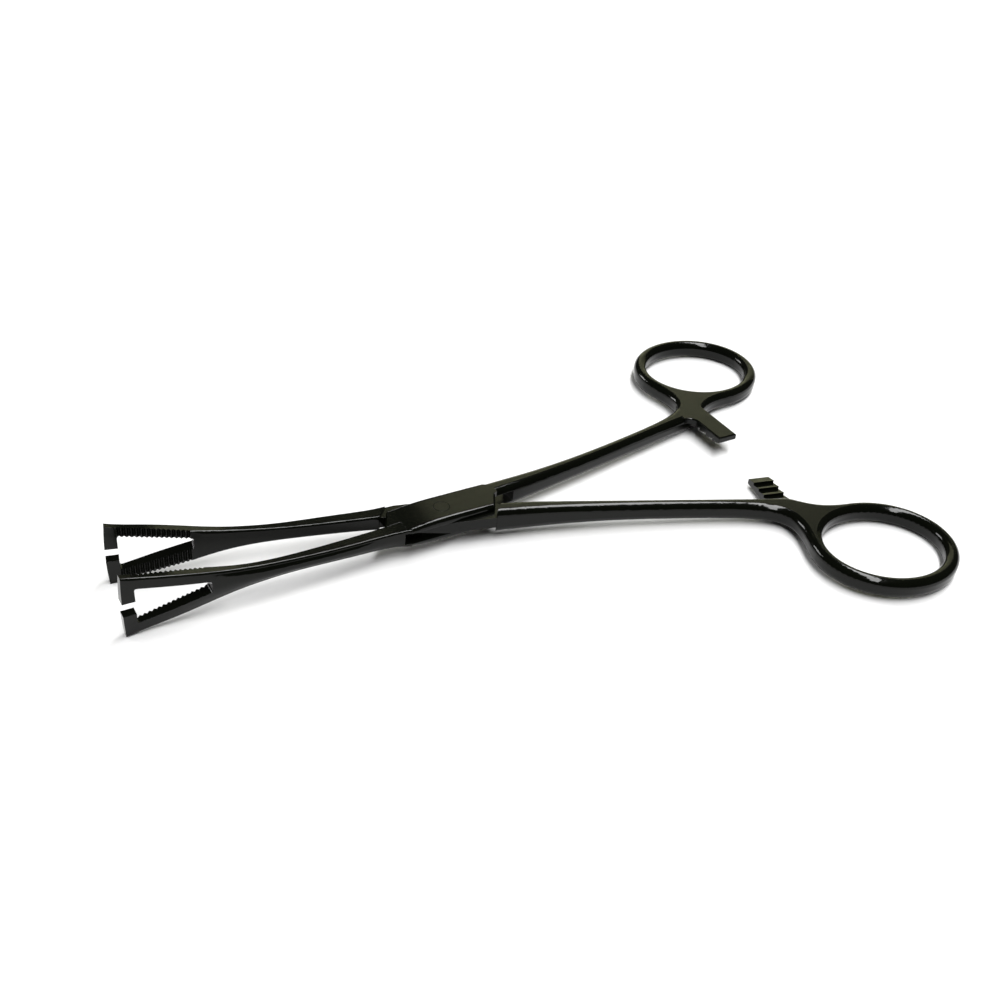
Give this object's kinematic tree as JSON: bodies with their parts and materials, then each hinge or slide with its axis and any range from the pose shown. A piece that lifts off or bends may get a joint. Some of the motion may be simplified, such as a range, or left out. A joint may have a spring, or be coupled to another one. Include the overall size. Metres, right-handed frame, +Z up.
{
  "type": "tissue grasping forceps",
  "caption": "Ring-handled grasping forceps with slotted triangular jaws, serrated along the grip, that a box-lock pivot closes on tissue and a ratchet holds shut.",
  "frame": {"origin": "bottom centre of the bounding box, on the table that the jaws' lower corners and the finger rings rest on", "axes": "+X from the jaws to the finger rings, +Z up from the table, +Y towards the side where the passing half's jaw and the boxed half's ring lie"},
  "size_m": [0.1468, 0.092, 0.0122],
  "materials": {
    "black_coated_steel": "gloss black coating on polished stainless steel"
  },
  "bodies": {
    "boxed": {"boxed_half": "black_coated_steel", "pivot_pin": "black_coated_steel"},
    "passing": {"passing_half": "black_coated_steel"}
  },
  "joints": [
    {"name": "box_lock", "type": "hinge", "parent": "boxed", "child": "passing", "pos_m": [-0.01551, 0, 0.0044], "axis": [0.0296, 0, 0.9996], "range_deg": [-50, 12.8]}
  ]
}
